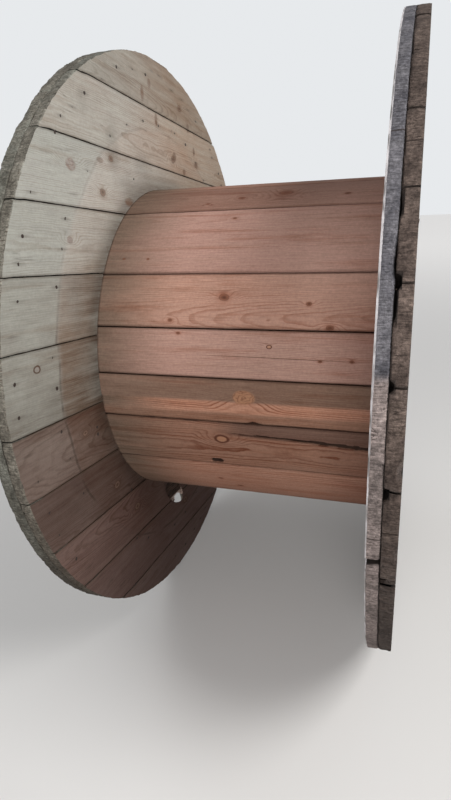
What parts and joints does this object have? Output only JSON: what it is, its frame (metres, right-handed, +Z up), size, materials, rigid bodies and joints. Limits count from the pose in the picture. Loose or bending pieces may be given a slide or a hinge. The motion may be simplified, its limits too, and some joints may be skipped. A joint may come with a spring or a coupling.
{
  "type": "wooden cable drum",
  "caption": "Weathered wooden cable drum: round crossed-board flanges on a barrel of pine staves, clamped by tie rods, with a spindle bore and a cable outlet hole.",
  "frame": {"origin": "on the floor under the middle of the drum, which lies on the rims of its two flanges", "axes": "+X along the drum's axis towards the right flange as the picture shows it, +Z up, the front is -Y"},
  "size_m": [0.592, 1.2, 1.2],
  "materials": {
    "stave_pine": "sawn pine, aged pinkish brown",
    "left_flange_pine": "sawn pine, weathered grey",
    "right_flange_pine": "sawn pine, weathered dark grey",
    "rod_steel": "dull zinc",
    "fastener_steel": "dull zinc with rust"
  },
  "bodies": {
    "root": {"barrel_stave_01": "stave_pine", "barrel_stave_02": "stave_pine", "barrel_stave_03": "stave_pine", "barrel_stave_04": "stave_pine", "barrel_stave_05": "stave_pine", "barrel_stave_06": "stave_pine", "barrel_stave_07": "stave_pine", "barrel_stave_08": "stave_pine", "barrel_stave_09": "stave_pine", "barrel_stave_10": "stave_pine", "barrel_stave_11": "stave_pine", "barrel_stave_12": "stave_pine", "barrel_stave_13": "stave_pine", "barrel_stave_14": "stave_pine", "barrel_stave_15": "stave_pine", "barrel_stave_16": "stave_pine", "barrel_stave_17": "stave_pine", "barrel_stave_18": "stave_pine", "barrel_stave_19": "stave_pine", "barrel_stave_20": "stave_pine", "left_inner_hub_board": "left_flange_pine", "left_inner_lower_board_1": "left_flange_pine", "left_inner_lower_board_2": "left_flange_pine", "left_inner_lower_board_3": "left_flange_pine", "left_inner_lower_board_4": "left_flange_pine", "left_inner_lower_board_5": "left_flange_pine", "left_inner_upper_board_1": "left_flange_pine", "left_inner_upper_board_2": "left_flange_pine", "left_inner_upper_board_3": "left_flange_pine", "left_inner_upper_board_4": "left_flange_pine", "left_inner_upper_board_5": "left_flange_pine", "left_outer_boards": "left_flange_pine", "left_outer_hub_board": "left_flange_pine", "left_tie_rod_nuts": "fastener_steel", "left_tie_rod_washers": "fastener_steel", "right_inner_hub_board": "right_flange_pine", "right_inner_lower_board_1": "right_flange_pine", "right_inner_lower_board_2": "right_flange_pine", "right_inner_lower_board_3": "right_flange_pine", "right_inner_lower_board_4": "right_flange_pine", "right_inner_lower_board_5": "right_flange_pine", "right_inner_upper_board_1": "right_flange_pine", "right_inner_upper_board_2": "right_flange_pine", "right_inner_upper_board_3": "right_flange_pine", "right_inner_upper_board_4": "right_flange_pine", "right_inner_upper_board_5": "right_flange_pine", "right_outer_boards": "right_flange_pine", "right_outer_hub_board": "right_flange_pine", "right_tie_rod_nuts": "fastener_steel", "right_tie_rod_washers": "fastener_steel", "tie_rod_1": "rod_steel", "tie_rod_2": "rod_steel", "tie_rod_3": "rod_steel", "tie_rod_4": "rod_steel"}
  },
  "joints": []
}
